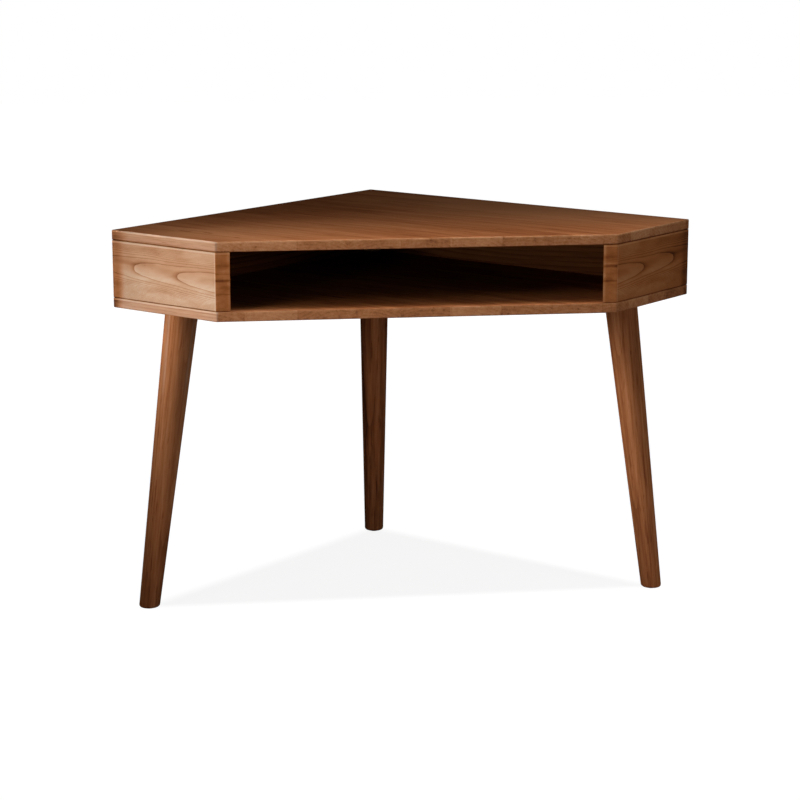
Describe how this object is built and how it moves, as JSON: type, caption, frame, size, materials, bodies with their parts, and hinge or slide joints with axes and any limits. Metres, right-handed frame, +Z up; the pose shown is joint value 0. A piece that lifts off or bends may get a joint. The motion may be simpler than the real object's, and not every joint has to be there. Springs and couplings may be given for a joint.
{
  "type": "corner writing desk",
  "caption": "Corner writing desk in solid wood: a pentagonal carcass with an open cubby along its front edge, on round tapered legs that splay sideways.",
  "frame": {"origin": "on the floor, under the middle of the desk's box", "axes": "+X to the right along the long front edge, +Y towards the room's corner, +Z up; the open front faces -Y"},
  "size_m": [1.1298, 0.7522, 0.76],
  "materials": {
    "walnut_board": "satin oiled walnut, edge-glued staves",
    "walnut_panel": "satin oiled walnut, flat-sawn",
    "walnut_leg": "satin oiled walnut, turned",
    "beech": "raw beech",
    "zinc_steel": "zinc plated",
    "black_steel": "black powder coat",
    "brown_plastic": "moulded, matte"
  },
  "bodies": {
    "root": {"top_board": "walnut_board", "bottom_board": "walnut_board", "left_end_panel": "walnut_panel", "right_end_panel": "walnut_panel", "left_back_panel": "walnut_panel", "right_back_panel": "walnut_panel", "corner_block": "beech", "block_screw_1": "zinc_steel", "block_screw_2": "zinc_steel", "block_screw_3": "zinc_steel", "block_screw_4": "zinc_steel", "left_end_dowel_1": "beech", "left_end_dowel_2": "beech", "left_end_dowel_3": "beech", "left_end_dowel_4": "beech", "left_back_dowel_1": "beech", "left_back_dowel_2": "beech", "left_back_dowel_3": "beech", "left_back_dowel_4": "beech", "left_back_dowel_5": "beech", "left_back_dowel_6": "beech", "right_end_dowel_1": "beech", "right_end_dowel_2": "beech", "right_end_dowel_3": "beech", "right_end_dowel_4": "beech", "right_back_dowel_1": "beech", "right_back_dowel_2": "beech", "right_back_dowel_3": "beech", "right_back_dowel_4": "beech", "right_back_dowel_5": "beech", "right_back_dowel_6": "beech", "left_leg": "walnut_leg", "left_leg_plate": "black_steel", "left_leg_nut": "zinc_steel", "left_leg_bolt": "zinc_steel", "left_plate_screw_1": "zinc_steel", "left_plate_screw_2": "zinc_steel", "left_plate_screw_3": "zinc_steel", "left_plate_screw_4": "zinc_steel", "left_foot_glide": "brown_plastic", "right_leg": "walnut_leg", "right_leg_plate": "black_steel", "right_leg_nut": "zinc_steel", "right_leg_bolt": "zinc_steel", "right_plate_screw_1": "zinc_steel", "right_plate_screw_2": "zinc_steel", "right_plate_screw_3": "zinc_steel", "right_plate_screw_4": "zinc_steel", "right_foot_glide": "brown_plastic", "back_leg": "walnut_leg", "back_leg_plate": "black_steel", "back_leg_nut": "zinc_steel", "back_leg_bolt": "zinc_steel", "back_plate_screw_1": "zinc_steel", "back_plate_screw_2": "zinc_steel", "back_plate_screw_3": "zinc_steel", "back_plate_screw_4": "zinc_steel", "back_foot_glide": "brown_plastic"}
  },
  "joints": []
}
